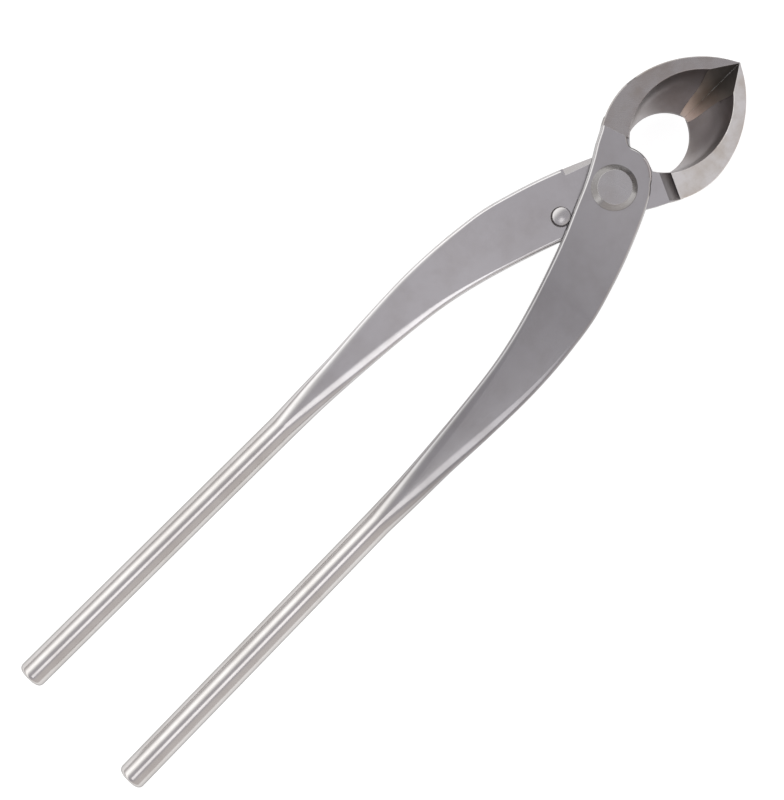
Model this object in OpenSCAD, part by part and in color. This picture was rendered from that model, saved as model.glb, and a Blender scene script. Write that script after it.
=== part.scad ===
// Long-handled concave cutter: two forged steel levers that cross on one rivet.
// The jaws are two halves of a hollow bowl, and their ground edges meet on the middle plane.
// It lies on its back with the jaw tips towards +Y. +X is right and +Z is up, in millimetres.
// The origin is the centre of the rivet's flat front head. Shapes are drawn from the joint
// plane, where the two levers touch, and placed() moves them to the origin.

/* [Jaws] */
// Distance from the pivot to the jaw tips
jaw_reach = 50; // [46:1:56]
// Width over both closed jaws
head_w = 36.8; // [34:0.2:41]
// Distance from the pivot to the widest place of the jaws
head_mid = 22.5; // [21:0.5:24]
// Distance from the pivot to the centre of the arc that runs to the tips
tip_mid = 20.5; // [19:0.25:22.5]
// Radius of the jaws' outline between the widest place and the lever
heel_r = 24; // [22:1:30]
// Width of the bowl at its front rim
mouth_w = 24.4; // [22:0.2:25.5]
// Radius of each jaw's front rim, seen from the front
mouth_r = 21; // [20:0.5:24]
// Width of the bowl half way down
belly_w = 22.4; // [20:0.2:23]
// Radius of the bowl's wall half way down
belly_r = 14.5; // [14:0.5:16]
// Width of the throat, the opening at the back of the bowl
throat_w = 17; // [15:0.5:18]
// Radius of each side of the throat
throat_r = 12; // [11.5:0.5:13]
// Angle of the ground bevel beside the cutting edge
bevel_angle = 53; // [48:1:58]
// Thickness left on the cutting edge
edge_land = 0.2; // [0.15:0.05:0.4]
// Space between the closed cutting edges
edge_gap = 0.06; // [0.04:0.02:0.12]
// Angle that the closed jaws lean to the right of the handles' middle line
head_lean = 0.5; // [0:0.25:1.5]

/* [Levers] */
// Thickness of each lever's flat part
plate_t = 6; // [5:0.25:7]
// Depth of the lap that lets each lever into the other
lap = 1.5; // [1:0.1:2]
// Radius of the lever round the pivot
hub_r = 10.4; // [9.8:0.1:11]
// Radius of the shoulder that closes the bottom of the bowl
shoulder_r = 8.7; // [8.2:0.1:9]
// Rounding of the arms' long edges
arm_edge_r = 1.05; // [0.6:0.05:1.4]
// Radius of the cove where the back lever's jaw steps up to the front
cove_r = 3; // [2:0.5:3.5]
// Space between the two levers on the joint plane
joint_gap = 0.05; // [0.03:0.01:0.1]
// Space between a lever's side and the wall of the lap
lap_gap = 0.2; // [0.15:0.05:0.4]

/* [Handles] */
// Distance from the pivot to the handle ends
handle_reach = 215; // [180:5:260]
// Diameter of the round bars
bar_d = 8.2; // [7:0.2:9]
// Distance from the pivot to where the arms' flats run out on the bars
flat_end = 114; // [105:1:125]
// Distance between the bars' centres where the flats run out
bar_spread = 38.2; // [37:0.2:42]
// Distance between the bars' centres at the handle ends
end_spread = 40.4; // [38:0.2:60]
// Rounding of the bars' ends
bar_end_r = 1.4; // [0.5:0.1:2]

/* [Rivet] */
// Diameter of the rivet's shank
rivet_d = 8; // [6:0.5:9]
// Diameter of the rivet's front head where it meets the lever
head_d = 13.2; // [12:0.2:15]
// Diameter of the head's flat face
head_flat_d = 9.8; // [8.5:0.1:11]
// Height of the front head
head_h = 1.8; // [1.2:0.1:2.4]
// Largest diameter of the peened rear end, set into the back lever
peen_d = 10.8; // [10:0.2:12]
// Depth of the countersink that holds the peened end
peen_h = 1.2; // [0.8:0.1:1.6]
// Height that the peened end stands proud
peen_rise = 0.5; // [0.3:0.1:0.8]
// Radial clearance that lets the front lever turn on the rivet
pivot_clear = 0.04; // [0.02:0.01:0.08]
// Space between the front head and the front lever
head_gap = 0.05; // [0.03:0.01:0.1]

/* [Stop pin] */
// Diameter of the pin that stops the handles closing further
pin_d = 5.2; // [4:0.2:6]
// Height that the pin stands above the back lever
pin_rise = 2.5; // [2:0.1:2.8]
// Distance below the pivot at which the front lever meets the pin
pin_drop = 15; // [13.5:0.5:17]
// Radius of the pin's domed top
pin_dome_r = 6; // [4:0.5:10]
// Space between the closed front lever and the pin
pin_gap = 0.05; // [0.04:0.01:0.1]

/* [Hidden] */
$fn = 96;
steel = "#b4b1b1";
bright_steel = "#c6c4c3";

// Levels above the joint plane
face_z = plate_t - lap;
head_top_z = face_z + head_gap + head_h;
beyond = 60;

// The bowl's outline: one arc from the widest place to the tip, about this far from the middle
half_w = head_w / 2;
tip_rise = jaw_reach - tip_mid;
tip_out = (pow(half_w, 2) + pow(head_mid - tip_mid, 2) - pow(tip_rise, 2)) / head_w;
tip_r = norm([tip_out, tip_rise]);
heel_y = 9;
heel_x = half_w - heel_r + sqrt(heel_r * heel_r - pow(head_mid - heel_y, 2));

// Levels of the bowl's hollow: [depth below the front, half width, wall radius, middle]
throat_depth = 14.5;
hollow = [
    [0, mouth_w / 2, mouth_r, head_mid + 4],
    [8.5, belly_w / 2, belly_r, head_mid + 2],
    [throat_depth, throat_w / 2, throat_r, head_mid - 3]
];
hollow_levels = 8;
hollow_points = 72;

// The bevel is cut as by a wheel with a pointed rim, which reaches this far from the seam
bevel_reach = 6.5;
bevel_from_y = head_mid + 4.5;

// The shoulder's centre, and the radius that the other lever keeps clear of it
shoulder_at = [-0.8, 3.7];
sweep_r = norm(shoulder_at) + shoulder_r + 2 * lap_gap;

// The bowl's heel rises to the lever's back on a slope, turned to face the pivot
heel_from_y = heel_y + 3.5;
heel_slope = 45;
heel_turn = 18;

// The cove across the root of the back lever's jaw: its line, seen from the pivot
cove_angle = 65;
cove_from_pivot = 13.4;

// Stations down an arm: [distance below the pivot, inner edge, outer edge]. The last two
// swell a little over the round bar, and end just inside it
bar_r = bar_d / 2;
swell = 0.3;
inside = 0.05;
arm = [
    [-4, -11.4, 9.8],
    [4, -7.2, 13.4],
    [12, -3.8, 16.6],
    [20, -0.4, 19.3],
    [30, 3.2, 22.1],
    [40, 6.4, 23.6],
    [50, 9.1, 24.5],
    [0.53 * flat_end, 11.1, 24.8],
    [0.66 * flat_end, 12.8, 24.4],
    [0.79 * flat_end, 14, 23.7],
    [0.895 * flat_end, bar_spread / 2 - bar_r - swell, bar_spread / 2 + bar_r + swell],
    [flat_end, bar_spread / 2 - bar_r + inside, bar_spread / 2 + bar_r - inside]
];
// Stations of the arm's thickness: [distance below the pivot, half thickness, edge radius]
arm_section = [
    [-4, plate_t / 2, arm_edge_r],
    [0.53 * flat_end, plate_t / 2, arm_edge_r],
    [0.66 * flat_end, plate_t / 2, arm_edge_r * 1.2],
    [0.79 * flat_end, plate_t / 2 + (bar_r - plate_t / 2) * 0.15, bar_r * 0.45],
    [0.895 * flat_end, plate_t / 2 + (bar_r - plate_t / 2) * 0.5, bar_r * 0.68],
    [flat_end, bar_r - inside, bar_r - inside]
];
// The round bar starts this far inside the end of the arm's skin
bar_overlap = 1;
// Rings are this far apart, with this many points on each corner, and a corner's radius
// leaves this much flat on each side of it
ring_step = 3;
corner_points = 6;
least_flat = 0.08;

// A smooth curve through a table: column k at distance d
function slot_of(t, d, i = 0) = i >= len(t) - 2 || d < t[i + 1][0] ? i : slot_of(t, d, i + 1);
function slope(t, k, i) =
    let (a = max(i - 1, 0), b = min(i + 1, len(t) - 1))
    (t[b][k] - t[a][k]) / (t[b][0] - t[a][0]);
function along(t, k, d) =
    let (i = slot_of(t, d), w = t[i + 1][0] - t[i][0], u = (d - t[i][0]) / w)
    (2 * u * u * u - 3 * u * u + 1) * t[i][k]
    + (u * u * u - 2 * u * u + u) * w * slope(t, k, i)
    + (3 * u * u - 2 * u * u * u) * t[i + 1][k]
    + (u * u * u - u * u) * w * slope(t, k, i + 1);

// The front lever's inner edge at a distance below the pivot, and the pin's place against it
function inner_edge(d) = along(arm, 1, d);
pin_lean = atan2(inner_edge(pin_drop + 0.5) - inner_edge(pin_drop - 0.5), 1);
pin_from_edge = pin_d / 2 + pin_gap;
pin_at = [
    inner_edge(pin_drop) - cos(pin_lean) * pin_from_edge,
    -pin_drop - sin(pin_lean) * pin_from_edge
];

// One closed loop round the arm: a rectangle with rounded corners
function arm_ring(d) =
    let (
        x0 = along(arm, 1, d),
        x1 = along(arm, 2, d),
        t = along(arm_section, 1, d),
        r = min(along(arm_section, 2, d), min(t, (x1 - x0) / 2) - least_flat)
    )
    [for (c = [0:3], i = [0:corner_points - 1])
        let (
            a = 90 * c + 90 * i / (corner_points - 1),
            cx = c == 0 || c == 3 ? x1 - r : x0 + r,
            cz = c < 2 ? t - r : r - t
        )
        [cx + r * cos(a), -d, cz + r * sin(a)]];

// Moves what is drawn from the joint plane to the origin
module placed() {
    translate([0, 0, -head_top_z]) children();
}

// A closed skin over rings of points that each turn right-handed about the way they advance
module skin(rings) {
    n = len(rings[0]);
    last = len(rings) - 1;
    faces = concat(
        [[for (i = [0:n - 1]) i]],
        [for (j = [0:last - 1], i = [0:n - 1])
            let (k = (i + 1) % n, a = j * n, b = a + n)
            each [[a + k, a + i, b + i], [a + k, b + i, b + k]]],
        [[for (i = [n - 1:-1:0]) last * n + i]]
    );
    polyhedron(points = [for (r = rings) each r], faces = faces, convexity = 4);
}

// The whole arm, from inside the joint's plate to where it has become a round bar
module arm_skin() {
    first = arm[0][0];
    count = ceil((flat_end - first) / ring_step);
    skin([for (j = [0:count]) arm_ring(first + (flat_end - first) * j / count)]);
}

// The straight round bar from the run-out of the flats to the handle's end
module bar() {
    start_d = flat_end - bar_overlap;
    lean = atan2((end_spread - bar_spread) / 2, handle_reach - flat_end);
    bar_len = (handle_reach - start_d) / cos(lean);
    translate([bar_spread / 2 - tan(lean) * (flat_end - start_d), -start_d, 0])
        rotate([90, 0, lean])
            rotate_extrude() {
                square([bar_r, bar_len - bar_end_r]);
                square([bar_r - bar_end_r, bar_len]);
                translate([bar_r - bar_end_r, bar_len - bar_end_r]) circle(bar_end_r);
            }
}

// The joint's plate round the pivot, with the shoulder and the root of the left jaw
module hub(z0, z1) {
    inner = [for (d = [-2:2:12]) [inner_edge(d), -d]];
    translate([0, 0, z0]) {
        intersection() {
            cylinder(h = z1 - z0, r = hub_r);
            linear_extrude(z1 - z0)
                polygon(concat(inner, [[hub_r, -12], [hub_r, hub_r], [-8, hub_r]]));
        }
        translate(shoulder_at) cylinder(h = z1 - z0, r = shoulder_r);
        linear_extrude(z1 - z0)
            polygon([
                [-4, -2], [inner_edge(-2), 2], [-heel_x, heel_y], [-heel_x - 1, heel_y + 2.5],
                [-10.8, 15.6], [-8.6, 14.2], [-7.5, 12.9], [-6, 11.9], [-4.4, 11.5],
                [-3, 11.9], [0, 4]
            ]);
    }
}

// What the other lever needs under this one: the lap, cut up to the joint plane
module lap_cut() {
    edge = [for (d = [9:2.5:24]) [lap_gap - inner_edge(d), -d]];
    translate([0, 0, -beyond])
        linear_extrude(beyond + joint_gap / 2)
            polygon(concat(
                [[-beyond, 30], [30, 30], [30, -4], [15.5, -6.6], [11, -7.6], [7.6, -8.6]],
                edge,
                [[-beyond, -24]]
            ));
}

// One lever without its jaw: the front one, with its handle to the right
module lever_blank() {
    difference() {
        union() {
            translate([0, 0, plate_t / 2 - lap]) {
                arm_skin();
                bar();
            }
            hub(0, face_z);
        }
        lap_cut();
    }
}

// The outside of the closed bowl, turned about the middle line of its front face
module bowl_outside() {
    translate([0, 0, face_z])
        rotate([-90, 0, 0])
            rotate_extrude() {
                intersection() {
                    translate([tip_out, tip_mid]) circle(tip_r);
                    translate([0, head_mid]) square([half_w, jaw_reach - head_mid]);
                }
                intersection() {
                    translate([half_w - heel_r, head_mid]) circle(heel_r);
                    translate([0, heel_y]) square([half_w, head_mid - heel_y]);
                }
            }
}

// One level of the hollow of a jaw: a ring round the centre of that level's wall radius
function hollow_ring(side, depth, z) =
    let (w = along(hollow, 1, depth), r = along(hollow, 2, depth), mid = along(hollow, 3, depth))
    [for (i = [0:hollow_points - 1])
        let (a = 360 * i / hollow_points)
        [side * (w - r) + r * cos(a), mid + r * sin(a), z]];

// The hollow of one jaw: straight through the throat, then a bowl that widens to the mouth
module bowl_hollow(side) {
    skin(concat(
        [hollow_ring(side, throat_depth, -beyond)],
        [for (j = [hollow_levels:-1:0])
            let (depth = throat_depth * j / hollow_levels)
            hollow_ring(side, depth, face_z - depth)],
        [hollow_ring(side, 0, beyond)]
    ));
}

// The ground bevel of one jaw: half of a wheel with a pointed rim that follows the seam
module bevel(side) {
    wheel_r = tip_r - edge_land;
    intersection() {
        translate([0, tip_mid, face_z - tip_out])
            rotate([0, side * 90, 0])
                cylinder(h = wheel_r / tan(bevel_angle), r1 = wheel_r, r2 = 0);
        translate([side < 0 ? -bevel_reach : 0, bevel_from_y, -beyond])
            cube([bevel_reach, beyond, 2 * beyond]);
    }
}

// The heel: nothing of the bowl round the pivot, or below a slope up to the lever's back
module heel_cut(side) {
    top = side < 0 ? joint_gap / 2 : -face_z;
    translate([0, 0, -beyond]) cylinder(h = beyond + top, r = sweep_r);
    rotate([0, 0, -side * heel_turn])
        translate([-beyond, heel_from_y, -plate_t])
            rotate([heel_slope, 0, 0])
                translate([0, -beyond, -beyond]) cube([2 * beyond, beyond, beyond]);
}

// One jaw of the bowl: side is -1 for the left jaw and 1 for the right one
module jaw(side) {
    rotate([0, 0, -head_lean]) difference() {
        bowl_outside();
        translate([side < 0 ? -edge_gap / 2 : edge_gap / 2 - beyond, -beyond, -beyond])
            cube([beyond, 3 * beyond, 2 * beyond]);
        translate([-beyond, -beyond, face_z]) cube([2 * beyond, 3 * beyond, beyond]);
        bowl_hollow(side);
        bevel(side);
        heel_cut(side);
    }
}

module front_lever() {
    color(steel)
        placed() difference() {
            union() {
                lever_blank();
                jaw(-1);
            }
            translate([0, 0, -beyond]) cylinder(h = 2 * beyond, r = rivet_d / 2 + pivot_clear);
        }
}

// The space over the right jaw's root that the front lever needs, with its coved wall
module cove_cut() {
    rotate([0, 0, cove_angle - 90]) {
        translate([-beyond, -beyond, -joint_gap / 2])
            cube([2 * beyond, beyond + cove_from_pivot, beyond]);
        translate([-beyond, cove_from_pivot, cove_r - joint_gap / 2])
            rotate([0, 90, 0]) cylinder(h = 2 * beyond, r = cove_r);
        translate([-beyond, 0, cove_r])
            cube([2 * beyond, cove_from_pivot + cove_r, beyond]);
    }
}

module back_lever() {
    color(steel)
        placed() difference() {
            union() {
                rotate([0, 180, 0]) lever_blank();
                difference() {
                    jaw(1);
                    cove_cut();
                }
            }
            translate([0, 0, -beyond]) cylinder(h = 2 * beyond, r = rivet_d / 2);
            translate([0, 0, -face_z]) cylinder(h = peen_h, r1 = peen_d / 2, r2 = rivet_d / 2);
            translate([pin_at[0], pin_at[1], -beyond]) cylinder(h = 2 * beyond, r = pin_d / 2);
        }
}

module pivot_rivet() {
    dome_r = (pow(peen_d / 2, 2) + pow(peen_rise, 2)) / (2 * peen_rise);
    color(bright_steel)
        placed() {
            translate([0, 0, -face_z]) cylinder(h = 2 * face_z + head_gap, r = rivet_d / 2);
            translate([0, 0, face_z + head_gap])
                cylinder(h = head_h, r1 = head_d / 2, r2 = head_flat_d / 2);
            translate([0, 0, -face_z]) cylinder(h = peen_h, r1 = peen_d / 2, r2 = rivet_d / 2);
            intersection() {
                translate([0, 0, -face_z - peen_rise + dome_r]) sphere(dome_r);
                translate([0, 0, -face_z - peen_rise]) cylinder(h = peen_rise, r = peen_d / 2);
            }
        }
}

module stop_pin() {
    color(bright_steel)
        placed()
            translate([pin_at[0], pin_at[1], 0])
                intersection() {
                    translate([0, 0, -face_z]) cylinder(h = face_z + lap + pin_rise, r = pin_d / 2);
                    union() {
                        translate([0, 0, lap + pin_rise - pin_dome_r]) sphere(pin_dome_r);
                        translate([0, 0, -face_z]) cylinder(h = face_z + lap, r = pin_d);
                    }
                }
}

front_lever();
back_lever();
pivot_rivet();
stop_pin();
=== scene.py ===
"""Looks of a long-handled concave cutter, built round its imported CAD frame.

Two forged levers cross on a rivet. Each is one piece of satin stainless steel: half of a
hollow bowl, a flat joint plate, a curved flat arm and a straight round bar.
Shapes are worked out in millimetres above the joint plane, where the levers touch, and are
put in place in metres.
"""
import logging
import math
from dataclasses import dataclass
from enum import Enum

import bmesh
import bpy
from mathutils import Matrix, Vector


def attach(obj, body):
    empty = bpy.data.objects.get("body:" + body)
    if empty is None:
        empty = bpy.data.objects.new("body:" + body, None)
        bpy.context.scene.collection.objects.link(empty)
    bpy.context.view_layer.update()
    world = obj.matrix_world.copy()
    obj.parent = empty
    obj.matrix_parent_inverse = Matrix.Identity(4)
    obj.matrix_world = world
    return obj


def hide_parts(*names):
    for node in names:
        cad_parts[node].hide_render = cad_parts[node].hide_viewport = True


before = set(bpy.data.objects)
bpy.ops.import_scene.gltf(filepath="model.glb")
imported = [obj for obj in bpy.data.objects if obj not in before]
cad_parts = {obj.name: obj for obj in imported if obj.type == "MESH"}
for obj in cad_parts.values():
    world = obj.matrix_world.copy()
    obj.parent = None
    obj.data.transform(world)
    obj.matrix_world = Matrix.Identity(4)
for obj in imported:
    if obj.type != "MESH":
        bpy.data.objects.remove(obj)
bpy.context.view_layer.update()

LOG = logging.getLogger("cutter")
MM = 0.001
# Further out than the jaws and the joint, for cutters that go right through, in mm
BEYOND = 60.0
# Faces round a quarter of a rounded edge, and round a full turn
CORNER_STEPS = 8
ROUND_STEPS = 120
# Points closer than this are one, in mm: where a solid is closed, and after all its cuts
SEAM = 1e-4
CUT_SEAM = 4e-3
# An edge stays sharp where the faces turn by more than this, in degrees
SHARP_TURN = 28
Spot = tuple[float, float]
Outline = list[Spot]
Point = tuple[float, float, float]
BMesh = bmesh.types.BMesh
Tree, Socket = bpy.types.NodeTree, bpy.types.NodeSocket


class Side(Enum):
    """The two jaws, by the side of the seam that they lie on."""

    LEFT = -1
    RIGHT = 1


class Cut(Enum):
    """How one solid changes another."""

    TAKE = "DIFFERENCE"
    JOIN = "UNION"


# ---- curves and solids


@dataclass(frozen=True)
class Table:
    """A smooth curve through rows of (distance, value, value, ...)."""

    rows: tuple[tuple[float, ...], ...]

    def slope(self, column: int, row: int) -> float:
        """The curve's slope at a row, from its neighbours."""
        low, high = self.rows[max(row - 1, 0)], self.rows[min(row + 1, len(self.rows) - 1)]
        return (high[column] - low[column]) / (high[0] - low[0])

    def at(self, column: int, distance: float) -> float:
        """The value of one column at a distance.

        Args:
            column: The column of the table, from 1.
            distance: Where along the table, in the unit of its first column.

        Returns:
            The value on a cubic curve through the rows.
        """
        row = 0
        while row < len(self.rows) - 2 and distance >= self.rows[row + 1][0]:
            row += 1
        here, there = self.rows[row], self.rows[row + 1]
        width = there[0] - here[0]
        u = (distance - here[0]) / width
        return (
            (2 * u**3 - 3 * u**2 + 1) * here[column]
            + (u**3 - 2 * u**2 + u) * width * self.slope(column, row)
            + (3 * u**2 - 2 * u**3) * there[column]
            + (u**3 - u**2) * width * self.slope(column, row + 1)
        )


def steps(start: float, stop: float, count: int) -> list[float]:
    """Evenly spaced numbers from start to stop, both included."""
    return [start + (stop - start) * i / count for i in range(count + 1)]


def add_loop(bm: BMesh, points: list[Point]) -> list[bmesh.types.BMEdge]:
    """Adds one closed loop of edges.

    Args:
        bm: The mesh that the loop is added to.
        points: The loop's corners in order, in millimetres.

    Returns:
        The loop's edges.
    """
    verts = [bm.verts.new(p) for p in points]
    return [bm.edges.new(pair) for pair in zip(verts, verts[1:] + verts[:1])]


def loft(bm: BMesh, rings: list[list[Point]], start: list | None = None) -> None:
    """Bridges a row of loops into one closed skin.

    Args:
        bm: The mesh that the skin is added to.
        rings: The loops, each a list of corners in order.
        start: Edges of an open end that the skin goes on from, in place of a first cap.
    """
    loops = [add_loop(bm, ring) for ring in rings]
    if start is None:
        bmesh.ops.edgeloop_fill(bm, edges=loops[0])
    else:
        loops.insert(0, start)
    for near, far in zip(loops, loops[1:]):
        bmesh.ops.bridge_loops(bm, edges=near + far)
    bmesh.ops.edgeloop_fill(bm, edges=loops[-1])


def prism(bm: BMesh, outline: Outline, low: float, high: float) -> None:
    """Stands an outline up between two levels.

    Args:
        bm: The mesh that the prism is added to.
        outline: Corners in order, seen from above.
        low: The level of the prism's underside.
        high: The level of its top.
    """
    face = bm.faces.new([bm.verts.new((x, y, low)) for x, y in outline])
    made = bmesh.ops.extrude_face_region(bm, geom=[face])
    tops = [v for v in made["geom"] if isinstance(v, bmesh.types.BMVert)]
    bmesh.ops.translate(bm, verts=tops, vec=(0, 0, high - low))


class Solid:
    """A closed solid in millimetres, on its own object while it is worked on."""

    def __init__(self, name: str, bm: BMesh) -> None:
        """Closes the seams of a mesh, turns its faces outwards and takes it.

        Args:
            name: What the solid is called.
            bm: The mesh, which is used up.
        """
        bmesh.ops.remove_doubles(bm, verts=bm.verts, dist=SEAM)
        bmesh.ops.recalc_face_normals(bm, faces=bm.faces)
        mesh = bpy.data.meshes.new(name)
        bm.to_mesh(mesh)
        bm.free()
        self.obj = bpy.data.objects.new(name, mesh)
        bpy.context.scene.collection.objects.link(self.obj)

    def turned(self, turn: Matrix) -> "Solid":
        """Turns or moves the solid, and keeps its faces outwards.

        Args:
            turn: The turn or the move.

        Returns:
            This solid.
        """
        self.obj.data.transform(turn)
        if turn.determinant() < 0:
            self.obj.data.flip_normals()
        return self

    def cut(self, other: "Solid", how: Cut) -> "Solid":
        """Changes this solid by another one, which is used up.

        Args:
            other: The solid that cuts this one or joins it.
            how: What it does.

        Returns:
            This solid.
        """
        modifier = self.obj.modifiers.new("cut", "BOOLEAN")
        modifier.operation = how.value
        modifier.solver = "MANIFOLD"
        modifier.object = other.obj
        graph = bpy.context.evaluated_depsgraph_get()
        mesh = bpy.data.meshes.new_from_object(self.obj.evaluated_get(graph))
        self.obj.modifiers.clear()
        old, self.obj.data = self.obj.data, mesh
        bpy.data.meshes.remove(old)
        LOG.debug("%s: %d faces after %s", self.obj.name, len(mesh.polygons), other.obj.name)
        other.scrap()
        return self

    def scrap(self) -> None:
        """Removes a solid that has done its work."""
        mesh = self.obj.data
        bpy.data.objects.remove(self.obj)
        bpy.data.meshes.remove(mesh)


def profile_turn() -> Matrix:
    """Lays a prism down, so that its outline's axes become Y and Z, and its height X."""
    return Matrix(((0, 0, 1, 0), (1, 0, 0, 0), (0, 1, 0, 0), (0, 0, 0, 1)))


def prism_solid(name: str, outline: Outline, low: float, high: float) -> Solid:
    """Makes a solid of a standing prism.

    Args:
        name: What the solid is called.
        outline: Corners in order, seen from above.
        low: The level of its underside.
        high: The level of its top.

    Returns:
        The closed solid.
    """
    bm = bmesh.new()
    prism(bm, outline, low, high)
    return Solid(name, bm)


def lathe(name: str, profile: Outline, at: Spot) -> Solid:
    """Turns a profile round an upright axis.

    Args:
        name: What the solid is called.
        profile: (radius, level) from the axis at the top to the axis at the bottom.
        at: The axis, seen from above.

    Returns:
        The closed solid.
    """
    bm = bmesh.new()
    verts = [bm.verts.new((at[0] + r, at[1], z)) for r, z in profile]
    edges = [bm.edges.new(pair) for pair in zip(verts, verts[1:])]
    bmesh.ops.spin(
        bm,
        geom=verts + edges,
        cent=(at[0], at[1], 0),
        axis=(0, 0, 1),
        angle=math.tau,
        steps=ROUND_STEPS,
        use_merge=True,
    )
    return Solid(name, bm)


def arc(centre: Spot, radius: float, start: float, stop: float, count: int = 4) -> Outline:
    """Lays points on part of a circle.

    Args:
        centre: The circle's centre.
        radius: Its radius.
        start: The angle of the first point, in degrees.
        stop: The angle of the last one.
        count: How many steps there are between them.

    Returns:
        The points in order.
    """
    turns = [math.radians(a) for a in steps(start, stop, count)]
    return [(centre[0] + radius * math.cos(a), centre[1] + radius * math.sin(a)) for a in turns]


# ---- shapes


@dataclass(frozen=True)
class Joint:
    """Where the two levers cross. Levels are above the joint plane."""

    plate_t: float = 6.0
    lap: float = 1.5
    hub_r: float = 10.4
    shoulder_r: float = 8.7
    shoulder_at: Spot = (-0.8, 3.7)
    gap: float = 0.05
    lap_gap: float = 0.2
    bore_r: float = 4.04
    rivet_r: float = 4.0
    peen_r: float = 5.4
    peen_h: float = 1.2
    head_gap: float = 0.05
    head_h: float = 1.8
    face_drop: float = 0.04

    @property
    def face_z(self) -> float:
        """The level of the jaws' front face."""
        return self.plate_t - self.lap

    @property
    def head_top_z(self) -> float:
        """The level of the rivet head's flat face, which is the origin's level."""
        return self.face_z + self.head_gap + self.head_h

    @property
    def sweep_r(self) -> float:
        """The radius that the other lever keeps clear of the shoulder."""
        return math.hypot(*self.shoulder_at) + self.shoulder_r + 2 * self.lap_gap


JOINT = Joint()


@dataclass(frozen=True)
class Arm:
    """A lever's flat arm and round bar. Distances are below the pivot.

    The rows of its edges are (distance, inner edge, outer edge), and those of its sections
    (distance, half the thickness, radius of the corners). Its flats were rubbed down towards
    their sides, so they have soft shoulders, which swell and fade again down the arm.
    """

    flat_end: float = 114.0
    reach: float = 215.0
    bar_r: float = 4.1
    bar_spread: float = 38.2
    end_spread: float = 40.4
    bar_end_r: float = 1.4
    edge_r: float = 1.05
    plate_end: float = 30.0
    shoulder_w: float = 1.8
    shoulder_swell: float = 1.5
    shoulder_fall: int = 12
    shoulder_most: float = 0.95
    edges: Table = Table((
        (-4, -11.4, 9.8),
        (4, -7.2, 13.4),
        (12, -3.8, 16.6),
        (20, -0.4, 19.3),
        (30, 3.2, 22.1),
        (40, 6.4, 23.6),
        (50, 9.1, 24.5),
        (60.4, 11.1, 24.8),
        (75.2, 12.8, 24.4),
        (90.1, 14.0, 23.7),
        (102.0, 14.7, 23.5),
        (114.0, 15.0, 23.2),
    ))
    sections: Table = Table((
        (-4, 3.0, 1.05),
        (60.4, 3.0, 1.05),
        (75.2, 3.0, 1.26),
        (90.1, 3.165, 1.845),
        (102.0, 3.55, 2.79),
        (114.0, 4.1, 4.1),
    ))

    def inner(self, distance: float) -> float:
        """The arm's inner edge at a distance."""
        return self.edges.at(1, distance)

    def outer(self, distance: float) -> float:
        """The arm's outer edge at a distance."""
        return self.edges.at(2, distance)

    def ring(self, distance: float) -> list[Point]:
        """Makes one loop round the flat arm.

        Args:
            distance: How far below the pivot it is.

        Returns:
            The loop's points.
        """
        return self._loop(
            self.inner(distance),
            self.outer(distance),
            self.sections.at(1, distance),
            self.sections.at(2, distance),
            distance,
        )

    def bar_ring(self, distance: float, radius: float) -> list[Point]:
        """Makes one loop round the straight bar.

        Args:
            distance: How far below the pivot it is.
            radius: The bar's radius there.

        Returns:
            The loop's points.
        """
        share = (distance - self.flat_end) / (self.reach - self.flat_end)
        centre = (self.bar_spread + share * (self.end_spread - self.bar_spread)) / 2
        return self._loop(centre - radius, centre + radius, radius, radius, distance)

    def _loop(
        self, low: float, high: float, half_t: float, radius: float, distance: float,
    ) -> list[Point]:
        """A rectangle with rounded corners and soft shoulders, across the arm.

        Args:
            low: Its inner edge.
            high: Its outer edge.
            half_t: Half of its thickness.
            radius: The radius of its corners.
            distance: How far below the pivot it is.

        Returns:
            The loop's points, corner by corner.
        """
        radius = min(radius, half_t - 1e-3, (high - low) / 2 - 1e-3)
        middle = JOINT.plate_t / 2 - JOINT.lap
        share = (distance - self.plate_end) / (self.flat_end - self.plate_end)
        soft = 0.0
        if share > 0:
            soft = self.shoulder_w * math.sin(math.pi * min(share, 1) ** self.shoulder_swell)
        soft = min(soft, self.shoulder_most * ((high - low) / 2 - radius))
        points = []
        for centre, up, turn in (
            (high - radius, 1, 0), (low + radius, 1, 90),
            (low + radius, -1, 180), (high - radius, -1, 270),
        ):
            shoulder = math.copysign(soft, centre - (low + high) / 2)
            for step in steps(0, 90, CORNER_STEPS):
                across = math.cos(math.radians(turn + step))
                rise = math.sin(math.radians(turn + step))
                points.append((
                    centre + radius * across - shoulder * abs(rise) ** self.shoulder_fall,
                    -distance,
                    middle + up * (half_t - radius) + radius * rise,
                ))
        return points

    def rings(self) -> list[list[Point]]:
        """Makes all loops from the joint's plate to the bar's end.

        Returns:
            The loops, those of the rounded end last.
        """
        flat = [self.ring(d) for d in steps(self.plate_end + 1.5, self.flat_end - 1.5, 54)]
        start, stop = self.flat_end, self.reach - self.bar_end_r
        straight = [self.bar_ring(d, self.bar_r) for d in steps(start, stop, 16)]
        end = [
            self.bar_ring(
                stop + self.bar_end_r * math.sin(math.radians(a)),
                self.bar_r - self.bar_end_r * (1 - math.cos(math.radians(a))),
            )
            for a in steps(0, 90, 6)[1:]
        ]
        return flat + straight + end


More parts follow.
